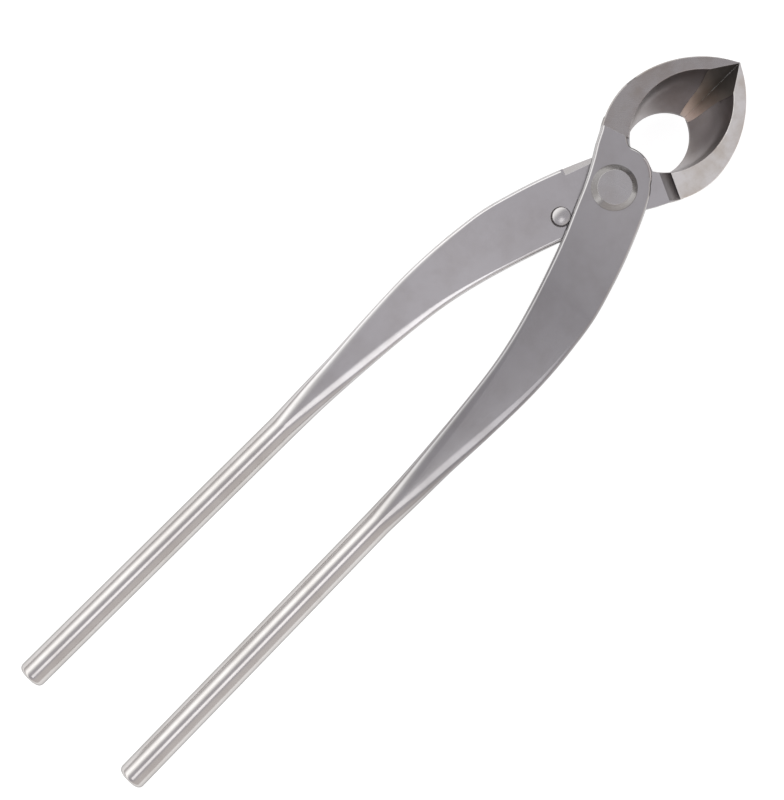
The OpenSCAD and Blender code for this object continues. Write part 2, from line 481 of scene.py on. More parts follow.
@dataclass(frozen=True)
class Bowl:
    """The closed jaws: half of a pointed bowl each, hollow and open at the back.

    The rows of its hollow are (depth, half the width, radius of the wall, middle), and the
    depth is below the front face.
    """

    reach: float = 50.0
    half_w: float = 18.4
    middle: float = 22.5
    tip_middle: float = 20.5
    heel_r: float = 24.0
    heel_y: float = 9.0
    edge_gap: float = 0.012
    edge_land: float = 0.2
    bevel_angle: float = 53.0
    bevel_reach: float = 6.5
    bevel_from: float = 27.0
    bevel_fit: float = 0.12
    bevel_lean: float = 0.03
    throat_depth: float = 14.5
    lean: float = 0.5
    outer_fillet: float = 0.4
    rim_fillet: float = 0.25
    heel_from: float = 11.0
    heel_turn: float = 18.0
    cove_angle: float = 65.0
    cove_from: float = 13.4
    cove_r: float = 3.0
    hollow: Table = Table((
        (0, 12.2, 21.0, 26.5),
        (8.5, 11.2, 14.5, 24.5),
        (14.5, 8.5, 12.0, 19.5),
    ))

    @property
    def tip_out(self) -> float:
        """How far beside the middle line the centre of the arc to the tip is."""
        rise = self.reach - self.tip_middle
        return (self.half_w**2 + (self.middle - self.tip_middle) ** 2 - rise**2) / (2 * self.half_w)

    @property
    def tip_r(self) -> float:
        """The radius of the arc from the widest place to the tip."""
        return math.hypot(self.tip_out, self.reach - self.tip_middle)

    def radius(self, y: float) -> float:
        """Gives the bowl's outer radius.

        Args:
            y: How far above the pivot.

        Returns:
            The radius: of the arc to the tip above the widest place, of the heel below it.
        """
        if y > self.middle:
            return self.tip_out + math.sqrt(max(self.tip_r**2 - (y - self.tip_middle) ** 2, 0))
        return self.half_w - self.heel_r + math.sqrt(self.heel_r**2 - (y - self.middle) ** 2)

    def on_bevel(self, point: Vector, normal: Vector) -> bool:
        """Tells whether a face of an upright jaw belongs to its ground bevel.

        Args:
            point: The face's middle, before the head leans.
            normal: The way that it faces.

        Returns:
            True where it is close to the wheel's cone and slopes as that does.
        """
        rim = self.tip_r - self.edge_land
        cone = rim - abs(point.x) * math.tan(math.radians(self.bevel_angle))
        away = math.hypot(point.y - self.tip_middle, point.z - JOINT.face_z + self.tip_out)
        slopes = abs(abs(normal.x) - math.sin(math.radians(self.bevel_angle))) < self.bevel_lean
        return slopes and point.y > self.bevel_from and abs(away - cone) < self.bevel_fit

    def shell(self, side: Side) -> Solid:
        """Makes half of the outside, closed on the front plane and on the seam.

        Args:
            side: The jaw.

        Returns:
            The solid half bowl.
        """
        bm = bmesh.new()
        rings = []
        for share in steps(0, 1, 72):
            y = self.heel_y + (self.reach - 0.01 - self.heel_y) * math.sin(share * math.pi / 2)
            radius = self.radius(y)
            edge = min(self.outer_fillet, radius / 3)
            last = math.acos(edge / radius)
            corner = (math.sqrt(radius**2 - edge**2) - edge, -edge)
            section = [(radius * math.sin(a), -radius * math.cos(a)) for a in steps(0, last, 44)]
            section += arc(corner, edge, 0, 90)[1:] + [(0.0, 0.0)]
            rings.append([
                (side.value * max(x, self.edge_gap / 2), y, JOINT.face_z + z) for x, z in section
            ])
        loft(bm, rings)
        return Solid("shell", bm)

    def _hollow_ring(self, side: Side, depth: float, spread: float, z: float) -> list[Point]:
        """Makes one level of a jaw's hollow.

        Args:
            side: The jaw.
            depth: How far below the front face the level's shape is taken.
            spread: What is added to its radius.
            z: The level that it is put on.

        Returns:
            The loop's points.
        """
        half_w, wall_r, middle = (self.hollow.at(k, depth) for k in (1, 2, 3))
        return [
            (
                side.value * (half_w - wall_r) + (wall_r + spread) * math.cos(a),
                middle + (wall_r + spread) * math.sin(a),
                z,
            )
            for a in steps(0, math.tau, 128)[:-1]
        ]

    def cavity(self, side: Side) -> Solid:
        """Makes what one jaw's hollow takes away, with the rim's small rounding.

        Args:
            side: The jaw.

        Returns:
            The cutter, from below the jaw to above it.
        """
        bm = bmesh.new()
        rings = [self._hollow_ring(side, self.throat_depth, 0, -BEYOND)]
        for depth in steps(self.throat_depth, self.rim_fillet, 24):
            rings.append(self._hollow_ring(side, depth, 0, JOINT.face_z - depth))
        spread = 0.0
        for a in steps(0, 75, 3)[1:]:
            depth = self.rim_fillet * (1 - math.sin(math.radians(a)))
            spread = self.rim_fillet * (1 - math.cos(math.radians(a)))
            rings.append(self._hollow_ring(side, depth, spread, JOINT.face_z - depth))
        rings.append(self._hollow_ring(side, 0, spread, BEYOND))
        loft(bm, rings)
        return Solid("cavity", bm)

    def wheel(self, side: Side) -> Solid:
        """Makes the pointed wheel that grinds a jaw's bevel.

        Args:
            side: The jaw.

        Returns:
            The part of the wheel that touches the jaw.
        """
        rim = self.tip_r - self.edge_land
        bm = bmesh.new()
        bmesh.ops.create_cone(
            bm,
            cap_ends=True,
            segments=360,
            radius1=rim,
            radius2=rim - self.bevel_reach * math.tan(math.radians(self.bevel_angle)),
            depth=self.bevel_reach,
            matrix=Matrix.Translation((
                side.value * self.bevel_reach / 2,
                self.tip_middle,
                JOINT.face_z - self.tip_out,
            )) @ Matrix.Rotation(side.value * math.pi / 2, 4, "Y"),
        )
        cut = bmesh.ops.bisect_plane(
            bm,
            geom=bm.verts[:] + bm.edges[:] + bm.faces[:],
            plane_co=(0, self.bevel_from, 0),
            plane_no=(0, -1, 0),
            clear_outer=True,
        )
        rim_edges = [e for e in cut["geom_cut"] if isinstance(e, bmesh.types.BMEdge)]
        bmesh.ops.holes_fill(bm, edges=rim_edges, sides=0)
        return Solid("wheel", bm)

    def heel(self, side: Side) -> list[Solid]:
        """Makes what is taken off a jaw behind the bowl, so that the levers can turn.

        Args:
            side: The jaw.

        Returns:
            The shoulder's sweep, and the slope under the heel.
        """
        back = -JOINT.face_z
        top = JOINT.gap / 2 if side is Side.LEFT else back
        turns = steps(0, math.tau, ROUND_STEPS)[:-1]
        circle = [(JOINT.sweep_r * math.cos(a), JOINT.sweep_r * math.sin(a)) for a in turns]
        drop = BEYOND - self.heel_from
        outline = [
            (-BEYOND, -BEYOND), (BEYOND, -BEYOND), (BEYOND, back - drop),
            (self.heel_from, back), (-BEYOND, back),
        ]
        slope = prism_solid("slope", outline, -BEYOND, BEYOND)
        turn = Matrix.Rotation(math.radians(-side.value * self.heel_turn), 4, "Z")
        return [prism_solid("sweep", circle, -BEYOND, top), slope.turned(turn @ profile_turn())]

    def cove(self) -> Solid:
        """Makes what is taken off the right jaw's root, with its coved wall.

        Returns:
            The cutter, already turned across the root.
        """
        low = -JOINT.gap / 2
        curve = [
            (self.cove_from + self.cove_r * math.sin(a), low + self.cove_r * (1 - math.cos(a)))
            for a in steps(0, math.pi / 2, 16)
        ]
        wall = self.cove_from + self.cove_r
        outline = [(-BEYOND, low), *curve, (wall, BEYOND), (-BEYOND, BEYOND)]
        turn = Matrix.Rotation(math.radians(self.cove_angle - 90), 4, "Z")
        return prism_solid("cove", outline, -BEYOND, BEYOND).turned(turn @ profile_turn())

    def on_cove(self, point: Vector, normal: Vector) -> bool:
        """Tells whether a face belongs to the coved wall at the right jaw's root.

        Args:
            point: The face's middle.
            normal: The way that it faces.

        Returns:
            True within the cove's width, where the face looks back towards the rivet.
        """
        turn = math.radians(self.cove_angle)
        way = Vector((math.cos(turn), math.sin(turn), 0))
        out = point.dot(way)
        # Within the wall's own width, and steeper than the floor that it runs out on
        return (
            self.cove_from + 0.15 < out < self.cove_from + self.cove_r + 0.1
            and point.z > -0.5
            and -0.05 < normal.z < 0.985
            and normal.dot(way) < -0.05
        )

    def jaw(self, side: Side) -> Solid:
        """Makes one jaw, ready to join to its lever.

        Args:
            side: The jaw.

        Returns:
            The jaw, leaning as the head does.
        """
        jaw = self.shell(side)
        for cutter in (self.cavity(side), self.wheel(side), *self.heel(side)):
            jaw.cut(cutter, Cut.TAKE)
        jaw.turned(Matrix.Rotation(-math.radians(self.lean), 4, "Z"))
        if side is Side.RIGHT:
            jaw.cut(self.cove(), Cut.TAKE)
        else:
            (x0, y0), (x1, y1) = GRIND_LINE
            rise = (y1 - y0) / (x1 - x0)
            outline = [
                (-BEYOND, -BEYOND), (BEYOND, -BEYOND),
                (BEYOND, y0 + rise * (BEYOND - x0)), (-BEYOND, y0 - rise * (BEYOND + x0)),
            ]
            jaw.cut(prism_solid("grind", outline, JOINT.face_z - GRIND_DEPTH, BEYOND), Cut.TAKE)
        return jaw


# Two points of the line where the front lever's plate ends and its jaw begins, and how far
# below the front face the jaw is cut off along it
GRIND_LINE = ((-14.3, 10.5), (-7.6, 12.7))
GRIND_DEPTH = 2
ARM = Arm()
BOWL = Bowl()


@dataclass(frozen=True)
class Blank:
    """A lever without its jaw, as the front one lies, with its bar to the right."""

    notch: tuple[Spot, ...] = ((15.5, -6.6), (11.0, -7.6), (7.6, -8.6))
    root: tuple[Spot, ...] = (
        (-5.4, 11.5), (-6.4, 11.95), (-7.5, 12.9), (-8.6, 14.2), (-10.8, 15.6),
    )
    arm_top: float = -2
    hub_turn: Spot = (26, 48.7)
    shoulder_turn: Spot = (32, 115)
    heel_rows: tuple[float, ...] = (12.5, 11, 10, 9)
    heel_inset: float = 0.05
    hip: Spot = (-12.45, 5.5)
    lap_rows: Spot = (9, 24)

    def outline(self) -> Outline:
        """Draws the joint plate with the upper part of the arm, seen from the front.

        Returns:
            The outline's corners, up the right side and down the left.
        """
        right = [(ARM.outer(d), -d) for d in steps(ARM.plate_end, self.arm_top, 20)]
        hub = arc((0, 0), JOINT.hub_r, *self.hub_turn, 5)
        shoulder = arc(JOINT.shoulder_at, JOINT.shoulder_r, *self.shoulder_turn, 16)
        heel = [(self.heel_inset - BOWL.radius(y), y) for y in self.heel_rows]
        left = [self.hip] + [(ARM.inner(d), -d) for d in steps(self.arm_top, ARM.plate_end, 20)]
        return right + hub + shoulder + list(self.root) + heel + left

    def build(self) -> Solid:
        """Makes the plate, the arm and the bar in one skin, and cuts the lap out of the back.

        Returns:
            The blank, closed.
        """
        low, high = -JOINT.lap, JOINT.face_z - JOINT.face_drop
        bm = bmesh.new()
        prism(bm, self.outline(), low, high)
        ends = [f for f in bm.faces if all(abs(v.co.y + ARM.plate_end) < 1e-4 for v in f.verts)]
        bmesh.ops.delete(bm, geom=ends, context="FACES_ONLY")
        long_edges = [
            e for e in bm.edges
            if abs(e.verts[0].co.z - e.verts[1].co.z) < 1e-5
            and not all(abs(v.co.y + ARM.plate_end) < 1e-4 for v in e.verts)
        ]
        bmesh.ops.bevel(
            bm,
            geom=long_edges,
            offset=ARM.edge_r,
            offset_type="OFFSET",
            segments=CORNER_STEPS,
            profile=0.5,
            affect="EDGES",
            material=-1,
        )
        open_end = [e for e in bm.edges if e.is_boundary]
        loft(bm, ARM.rings(), open_end)
        blank = Solid("blank", bm)
        edge = [(JOINT.lap_gap - ARM.inner(d), -d) for d in steps(*self.lap_rows, 6)]
        lap = [(-BEYOND, 30.0), (30.0, 30.0), (30.0, -4.0), *self.notch, *edge, (-BEYOND, -24.0)]
        return blank.cut(prism_solid("lap", lap, -BEYOND, JOINT.gap / 2), Cut.TAKE)


def bore(at: Spot, radius: float) -> Solid:
    """A round hole's cutter, right through."""
    circle = arc(at, radius, 0, 360 - 360 / ROUND_STEPS, ROUND_STEPS - 1)
    return prism_solid("bore", circle, -BEYOND, BEYOND)


# ---- finishes


def linear(colour: str) -> tuple[float, float, float, float]:
    """Turns an sRGB hex colour into the linear one that shaders use.

    Args:
        colour: Six hex digits with a leading #.

    Returns:
        Red, green, blue and an alpha of 1.
    """
    parts = [int(colour[i:i + 2], 16) / 255 for i in (1, 3, 5)]
    red, green, blue = (p / 12.92 if p <= 0.04045 else ((p + 0.055) / 1.055) ** 2.4 for p in parts)
    return (red, green, blue, 1.0)


def add(tree: Tree, kind: str, settings: dict | None = None, **inputs: object) -> bpy.types.Node:
    """Adds one node.

    Args:
        tree: The node tree that it goes in.
        kind: Its type, without the ShaderNode at the front.
        settings: Its own properties, by name.
        **inputs: What each input gets, by its name with _ for a space, or its number after
            a leading i: a socket to link from, or a value.

    Returns:
        The node.
    """
    node = tree.nodes.new("ShaderNode" + kind)
    for name, value in (settings or {}).items():
        setattr(node, name, value)
    for name, value in inputs.items():
        numbered = name[1:].isdigit() and name[0] == "i"
        socket = node.inputs[int(name[1:]) if numbered else name.replace("_", " ")]
        if isinstance(value, Socket):
            tree.links.new(value, socket)
        else:
            socket.default_value = value
    return node


def ramp(tree: Tree, source: Socket, stops: list[tuple[float, str]]) -> Socket:
    """Colours a value.

    Args:
        tree: The node tree that the ramp goes in.
        source: The value, from 0 to 1.
        stops: (position, sRGB hex colour), in order.

    Returns:
        The colour.
    """
    node = add(tree, "ValToRGB", None, i0=source)
    elements = node.color_ramp.elements
    while len(elements) < len(stops):
        elements.new(0.5)
    for element, (position, colour) in zip(elements, stops):
        element.position = position
        element.color = linear(colour)
    return node.outputs["Color"]


@dataclass(frozen=True)
class GroundSteel:
    """Stainless steel, forged, then ground, milled or turned, and satin polished by hand.

    The eye gets a grey metal gloss, spread by fine marks that run one way, with faint cloudy
    patches and a few brown specks from handling. The edges were dressed, so each takes a
    thin line of light. Its tones are (distance above the pivot in mm, colour); where there
    are several, their change along the tool is painted light and shade, not the steel's own.

    The real marks are a few hundredths of a millimetre wide, which is too fine to show, so
    grain_mm draws them coarser. cloud_mm, speck_mm and pit_mm are as wide as the real ones.
    """

    name: str
    tones: tuple[tuple[float, str], ...]
    cloud: str
    speck: str
    roughness: float
    rough_spread: float
    grain_mm: float
    grain_turn: float
    grain_depth: float
    speck_share: float
    edge_mm: float = 0.22
    cloud_mm: float = 9.0
    speck_mm: float = 0.9
    pit_mm: float = 0.35
    stroke: float = 24
    mark_depth_mm: float = 0.02
    glancing: float = 0.45

    def _tone_with_painted_shading(self, tree: Tree, place: Socket) -> Socket:
        """The steel's colour with painted light and shade along the tool.

        Args:
            tree: The finish's node tree.
            place: The point on the steel.

        Returns:
            The colour.
        """
        low, high = self.tones[0][0], self.tones[-1][0]
        along = add(tree, "SeparateXYZ", None, Vector=place).outputs["Y"]
        share = add(tree, "MapRange", None, Value=along, From_Min=low * MM, From_Max=high * MM)
        stops = [((y - low) / (high - low), colour) for y, colour in self.tones]
        return ramp(tree, share.outputs["Result"], stops)

    def material(self) -> bpy.types.Material:
        """Makes the finish.

        Returns:
            The material, on Object coordinates.
        """
        material = bpy.data.materials.new(self.name)
        material.use_nodes = True
        tree = material.node_tree
        tree.nodes.clear()
        place = add(tree, "TexCoord").outputs["Object"]
        plus, times = {"operation": "ADD"}, {"operation": "MULTIPLY"}
        cloud = add(
            tree, "TexNoise", None, Vector=place,
            Scale=1 / (self.cloud_mm * MM), Detail=4.0, Roughness=0.6,
        )
        speck = add(
            tree, "TexNoise", None, Vector=place,
            Scale=1 / (self.speck_mm * MM), Detail=3.0, Roughness=0.7,
        )
        # The marks are a noise drawn out along the stroke, and coarser than the real ones,
        # which are too fine to show
        turned = add(
            tree, "Mapping", {"vector_type": "TEXTURE"}, Vector=place,
            Rotation=(0, 0, math.radians(self.grain_turn)), Scale=(self.stroke, 1, 1),
        )
        grain = add(
            tree, "TexNoise", None, Vector=turned.outputs["Vector"],
            Scale=1 / (self.grain_mm * MM), Detail=3.0, Roughness=0.65,
        )
        pits = add(
            tree, "TexNoise", None, Vector=place, Scale=1 / (self.pit_mm * MM), Detail=2.0,
        )
        # Only the thicker clouds tint the steel, and only the peaks of the specks show
        tint = add(
            tree, "Mix", {"data_type": "RGBA", "blend_type": "MULTIPLY"},
            Factor=add(
                tree, "MapRange", None, Value=cloud.outputs["Fac"], From_Min=0.42, From_Max=0.68,
            ).outputs["Result"],
        )
        # Several tones paint light and shade into the colour along the tool; a single one is the
        # steel's own colour
        if len(self.tones) > 1:
            tree.links.new(self._tone_with_painted_shading(tree, place), tint.inputs["A"])
        else:
            tint.inputs["A"].default_value = linear(self.tones[0][1])
        tint.inputs["B"].default_value = linear(self.cloud)
        stain = add(
            tree, "Mix", {"data_type": "RGBA"},
            Factor=add(
                tree, "MapRange", None, Value=speck.outputs["Fac"],
                From_Min=0.66, From_Max=0.76, To_Max=self.speck_share,
            ).outputs["Result"],
        )
        tree.links.new(tint.outputs["Result"], stain.inputs["A"])
        stain.inputs["B"].default_value = linear(self.speck)
        # Marks and clouds together make the gloss uneven
        marks = add(
            tree, "Math", plus,
            i0=add(tree, "Math", times, i0=grain.outputs["Fac"], i1=0.6).outputs[0],
            i1=add(tree, "Math", times, i0=cloud.outputs["Fac"], i1=0.4).outputs[0],
        )
        rough = add(
            tree, "MapRange", None, Value=marks.outputs[0], From_Min=0.3, From_Max=0.7,
            To_Min=self.roughness - self.rough_spread, To_Max=self.roughness + self.rough_spread,
        )
        # Marks and pits stand in the relief, on edges that are rounded by the dressing
        height = add(
            tree, "Math", plus, i0=grain.outputs["Fac"],
            i1=add(tree, "Math", times, i0=pits.outputs["Fac"], i1=0.5).outputs[0],
        )
        soft = add(tree, "Bevel", {"samples": 4}, Radius=self.edge_mm * MM)
        bump = add(
            tree, "Bump", None, Height=height.outputs[0], Normal=soft.outputs["Normal"],
            Strength=self.grain_depth, Distance=self.mark_depth_mm * MM,
        )
        # Seen edge-on the marks shade each other, so the steel is darker there
        shader = add(
            tree, "BsdfPrincipled", None, Base_Color=stain.outputs["Result"], Metallic=1.0,
            Roughness=rough.outputs["Result"], Normal=bump.outputs["Normal"],
            Specular_Tint=(self.glancing, self.glancing, self.glancing, 1.0),
        )
        add(tree, "OutputMaterial", None, Surface=shader.outputs["BSDF"])
        return material


# Belt ground and satin polished: a smooth grey sheen, with painted shade darkening the middle of
# the arm and painted light towards its ends
FRONT_LEVER_PAINTED_SHADING = GroundSteel(
    "satin_stainless_front_lever_painted_shading",
    ((-118, "#d2cfcd"), (-96, "#b6b4b4"), (-74, "#acaaab"), (-34, "#acaaab"), (-4, "#c6c4c4")),
    "#f6f5f4", "#a09484", 0.18, 0.015, 0.30, 88, 0.03, 0.12, 0.1,
)
# The same polish on the lever behind, with its colour painted paler as the brighter light that it
# catches
BACK_LEVER_PAINTED_LIGHT = GroundSteel(
    "satin_stainless_back_lever_painted_light",
    ((-118, "#d2cfcd"), (-96, "#cfcdcd"), (-70, "#d8d6d6"), (-45, "#dcdada"), (-20, "#d4d2d2")),
    "#f6f5f4", "#a09484", 0.18, 0.015, 0.30, 88, 0.03, 0.12, 0.1,
)
# Ground across the rim: a gloss with slanting marks and brown specks, with its colour painted
# darker as shade on this face
LEFT_FACE_PAINTED_SHADE = GroundSteel(
    "ground_stainless_left_jaw_painted_shade", ((0, "#b8b4b2"),),
    "#e8e2dc", "#8c7654", 0.28, 0.05, 0.16, 48, 0.3, 0.45,
)
# Ground across the rim with a coarser belt: nearly without gloss, with its colour painted pale as
# the light on this face
RIGHT_FACE_PAINTED_LIGHT = GroundSteel(
    "ground_stainless_right_jaw_painted_light", ((0, "#eae7e4"),),
    "#e2dcd4", "#947c58", 0.40, 0.08, 0.16, 48, 0.4, 0.5,
)
# Milled hollow, left as it came: matt, with painted light at the throat and painted shade deepening
# towards the tip
BOWL_STEEL_PAINTED_SHADING = GroundSteel(
    "milled_stainless_bowl_painted_shading", ((10, "#f0ecec"), (20, "#c4c0c0"), (30, "#989292"), (42, "#787272")),
    "#eeebe8", "#6a5c50", 0.42, 0.05, 0.30, 0, 0.12, 0.2,
)
# Wheel ground bevels: a fine matt grey with a warm tinge, with painted light near the throat and
# painted shade towards the tip
BEVEL_STEEL_PAINTED_SHADING = GroundSteel(
    "ground_stainless_bevels_painted_shading", ((32.5, "#f2e8e2"), (37, "#c0b8b2"), (43, "#8c8885")),
    "#eae2da", "#7a6450", 0.42, 0.06, 0.14, 0, 0.2, 0.3,
)
# Milled cove at the right jaw's root: a matt band, with its colour painted dark as the shade on its
# wall
COVE_STEEL_PAINTED_SHADE = GroundSteel(
    "milled_stainless_cove_painted_shade", ((0, "#8a8686"),),
    "#eeebe8", "#5c5048", 0.42, 0.05, 0.20, 0, 0.2, 0.2,
)
# Turned and rubbed flat: an even, soft gloss
RIVET_STEEL = GroundSteel(
    "turned_stainless_rivet", ((0, "#c6c4c4"),),
    "#f2f0ee", "#a08c74", 0.28, 0.03, 0.14, 20, 0.12, 0.1, 0.1,
)
# The head's turned bevel: a little glossier than its flat, with its colour painted darker as shade
RIVET_BEVEL_PAINTED_SHADE = GroundSteel(
    "turned_stainless_rivet_bevel_painted_shade", ((0, "#aeacab"),),
    "#f2f0ee", "#a08c74", 0.24, 0.03, 0.14, 20, 0.12, 0.1, 0.1,
)
# Turned dowel: an even, soft gloss on its dome
PIN_STEEL = GroundSteel(
    "turned_stainless_pin", ((0, "#c8c6c6"),),
    "#f2f0ee", "#a08c74", 0.28, 0.03, 0.14, 70, 0.12, 0.1, 0.1,
)


class Zone(Enum):
    """The finishes of a lever, in the order of its material slots."""

    ARM = 0
    RING = 1
    BOWL = 2
    BEVEL = 3
    COVE = 4


# A face whose middle is less than this below the bowl's outside still belongs to it, in mm
OUTSIDE_DEPTH = 0.3


def zone_of(centre: Vector, normal: Vector) -> Zone:
    """The finish at one face of a lever.

    Args:
        centre: The face's middle, in millimetres above the joint plane.
        normal: The way that it faces.

    Returns:
        The zone that the face belongs to.
    """
    (x0, y0), (x1, y1) = GRIND_LINE
    above = centre.y - y0 - (centre.x - x0) * (y1 - y0) / (x1 - x0)
    # The coved wall gets the finish whose colour is painted dark as shade
    if BOWL.on_cove(centre, normal):
        return Zone.COVE
    if centre.x < 0 and above < 0 or centre.y < BOWL.heel_y:
        return Zone.ARM
    # The lap's floor, on the back lever
    if centre.x > 0 and centre.z < JOINT.gap and normal.z > 0.95:
        return Zone.ARM
    upright = Matrix.Rotation(math.radians(BOWL.lean), 3, "Z") @ centre
    if BOWL.on_bevel(upright, normal):
        return Zone.BEVEL
    # The rim and the outside share one finish, and the rest is hollow
    away = math.hypot(upright.x, upright.z - JOINT.face_z)
    outside = away > BOWL.radius(min(upright.y, BOWL.reach)) - OUTSIDE_DEPTH
    return Zone.RING if outside or normal.z > 0.9 else Zone.BOWL


# ---- pieces


@dataclass
class Piece:
    """One visible piece, and what it stands for."""

    name: str
    body: str
    node: str
    slot: str
    finishes: tuple[GroundSteel, ...]

    def shape(self) -> Solid:
        """Makes the piece's solid, above the joint plane, in millimetres."""
        raise NotImplementedError

    def dress(self, mesh: bpy.types.Mesh) -> None:
        """Gives every face its finish."""

    def build(self) -> bpy.types.Object:
        """Makes the piece, places it and ties it to its body.

        Returns:
            The finished object, at the origin.
        """
        solid = self.shape()
        obj, mesh = solid.obj, solid.obj.data
        bm = bmesh.new()
        bm.from_mesh(mesh)
        bmesh.ops.remove_doubles(bm, verts=bm.verts, dist=CUT_SEAM)
        bmesh.ops.dissolve_degenerate(bm, edges=bm.edges, dist=1e-3)
        bm.to_mesh(mesh)
        bm.free()
        mesh.materials.clear()
        for finish in self.finishes:
            mesh.materials.append(bpy.data.materials.get(finish.name) or finish.material())
        self.dress(mesh)
        mesh.transform(Matrix.Scale(MM, 4) @ Matrix.Translation((0, 0, -JOINT.head_top_z)))
        mesh.shade_smooth()
        mesh.set_sharp_from_angle(angle=math.radians(SHARP_TURN))
        obj.name = mesh.name = self.name
        even = obj.modifiers.new("even_normals", "WEIGHTED_NORMAL")
        even.keep_sharp = True
        even.weight = 60
        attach(obj, self.body)
        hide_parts(self.node)
        LOG.info("%s: %d faces on %s", self.name, len(mesh.polygons), self.body)
        return obj


class Lever(Piece):
    """What the two levers share."""

    def dress(self, mesh: bpy.types.Mesh) -> None:
        """Gives the arm, the ring's face, the bowl and its bevels their own finish."""
        for face in mesh.polygons:
            face.material_index = zone_of(face.center, face.normal).value


class FrontLever(Lever):
    """The lever in front: the left jaw, and the handle on the right."""

    def shape(self) -> Solid:
        """Joins the left jaw to the blank and bores it for the rivet.

        Returns:
            The lever.
        """
        lever = Blank().build()
        lever.cut(BOWL.jaw(Side.LEFT), Cut.JOIN)
        return lever.cut(bore((0, 0), JOINT.bore_r), Cut.TAKE)


@dataclass
class BackLever(Lever):
    """The lever behind: the right jaw, and the handle on the left."""

    recess_edge: tuple[Spot, Spot] = ((-9.9, -0.2), (-12.3, -6.6))
    recess_drop: float = 0.7
    seat_depth: float = 1.0
    seat_waist: float = 0.9
    ring_w: float = 0.35
    ring_depth: float = 0.4

    def shape(self) -> Solid:
        """Turns the blank over, and adds the right jaw, the rivet's seat and the pin's hole.

        Returns:
            The lever.
        """
        lever = Blank().build().turned(Matrix.Rotation(math.pi, 4, "Y"))
        lever.cut(BOWL.jaw(Side.RIGHT), Cut.JOIN)
        lever.cut(bore((0, 0), JOINT.rivet_r), Cut.TAKE)
        back = -JOINT.face_z
        seat = [
            (0, back + self.seat_depth), (JOINT.rivet_r - self.seat_waist, back + self.seat_depth),
            (JOINT.rivet_r, back + JOINT.peen_h), (JOINT.peen_r, back),
            (JOINT.peen_r, -BEYOND), (0, -BEYOND),
        ]
        lever.cut(lathe("seat", seat, (0, 0)), Cut.TAKE)
        pin = StopPin.place()
        lever.cut(bore(pin, StopPin.radius), Cut.TAKE)
        wide, low = StopPin.radius + self.ring_w, JOINT.lap - self.ring_depth
        ring = [(0, BEYOND), (wide, BEYOND), (wide, JOINT.lap), (StopPin.radius, low), (0, low)]
        lever.cut(lathe("ring", ring, pin), Cut.TAKE)
        return lever.cut(self._recess_chamfer(), Cut.TAKE)

    def _recess_chamfer(self) -> Solid:
        """Makes the cutter of the wide chamfer along the recess's outer edge.

        Returns:
            The cutter, laid along the edge.
        """
        (x0, y0), (x1, y1) = self.recess_edge
        length = math.hypot(x1 - x0, y1 - y0)
        # From just inside the edge, down its slope to past the lever's side
        outline = [(-0.4, 0.4 * self.recess_drop), (7, -7 * self.recess_drop), (7, 4), (-0.4, 4)]
        down = Vector(((x1 - x0) / length, (y1 - y0) / length, 0))
        out = Vector((down.y, -down.x, 0))
        along_edge = Matrix((
            (out.x, 0, down.x, x0),
            (out.y, 0, down.y, y0),
            (0, 1, 0, 0),
            (0, 0, 0, 1),
        ))
        return prism_solid("chamfer", outline, -3, length).turned(along_edge)


@dataclass
class PivotRivet(Piece):
    """The rivet that the levers turn on: a bevelled flat head, and a peened rear end."""

    head_r: float = 6.6
    flat_r: float = 4.9
    peen_rise: float = 0.5
    edge_r: float = 0.18

    def shape(self) -> Solid:
        """Turns the rivet from its profile.

        Returns:
            The rivet, from its flat head to its peened end.
        """
        top, under = JOINT.head_top_z, JOINT.face_z + JOINT.head_gap
        slope = math.degrees(math.atan2(JOINT.head_h, self.head_r - self.flat_r))
        turn = self.edge_r * math.tan(math.radians(slope / 2))
        crown = arc((self.flat_r - turn, top - self.edge_r), self.edge_r, 90, 90 - slope)
        back = -JOINT.face_z
        dome_r = (JOINT.peen_r**2 + self.peen_rise**2) / (2 * self.peen_rise)
        dome = [
            (dome_r * math.sin(a), back - self.peen_rise + dome_r * (1 - math.cos(a)))
            for a in steps(math.asin(JOINT.peen_r / dome_r), 0, 10)
        ]
        profile = [
            (0, top), *crown,
            (self.head_r - 0.1, under + 0.18), (self.head_r, under + 0.06),
            (self.head_r - 0.06, under),
            (JOINT.rivet_r, under), (JOINT.rivet_r, back + JOINT.peen_h), *dome,
        ]
        return lathe(self.name, profile, (0, 0))

    def dress(self, mesh: bpy.types.Mesh) -> None:
        """Gives the head's bevel its own finish, whose colour is painted darker as shade."""
        for face in mesh.polygons:
            face.material_index = int(face.center.z > JOINT.face_z and 0.2 < face.normal.z < 0.9)


@dataclass
class StopPin(Piece):
    """The dowel that the front lever's side rests on when the jaws are shut."""

    radius: float = 2.6
    drop: float = 15.0
    gap: float = 0.05
    rise: float = 2.5
    dome_r: float = 6.0
    edge_r: float = 0.3

    @classmethod
    def place(cls) -> Spot:
        """Finds the pin's centre, beside the front lever's inner edge.

        Returns:
            The centre, seen from above.
        """
        lean = math.atan2(ARM.inner(cls.drop + 0.5) - ARM.inner(cls.drop - 0.5), 1)
        away = cls.radius + cls.gap
        return ARM.inner(cls.drop) - math.cos(lean) * away, -cls.drop - math.sin(lean) * away

    def shape(self) -> Solid:
        """Turns the pin from its profile.

        Returns:
            The pin, from its dome to its chamfered end.
        """
        top = JOINT.lap + self.rise
        last = math.asin((self.radius - self.edge_r * 0.8) / self.dome_r)
        dome = [
            (self.dome_r * math.sin(a), top - self.dome_r * (1 - math.cos(a)))
            for a in steps(0, last, 10)
        ]
        level = dome[-1][1]
        profile = [
            *dome, (self.radius - 0.08, level - 0.09), (self.radius, level - 0.28),
            (self.radius, 0.2 - JOINT.face_z), (self.radius - 0.2, -JOINT.face_z),
            (0, -JOINT.face_z),
        ]
        return lathe(self.name, profile, self.place())


# ---- studio


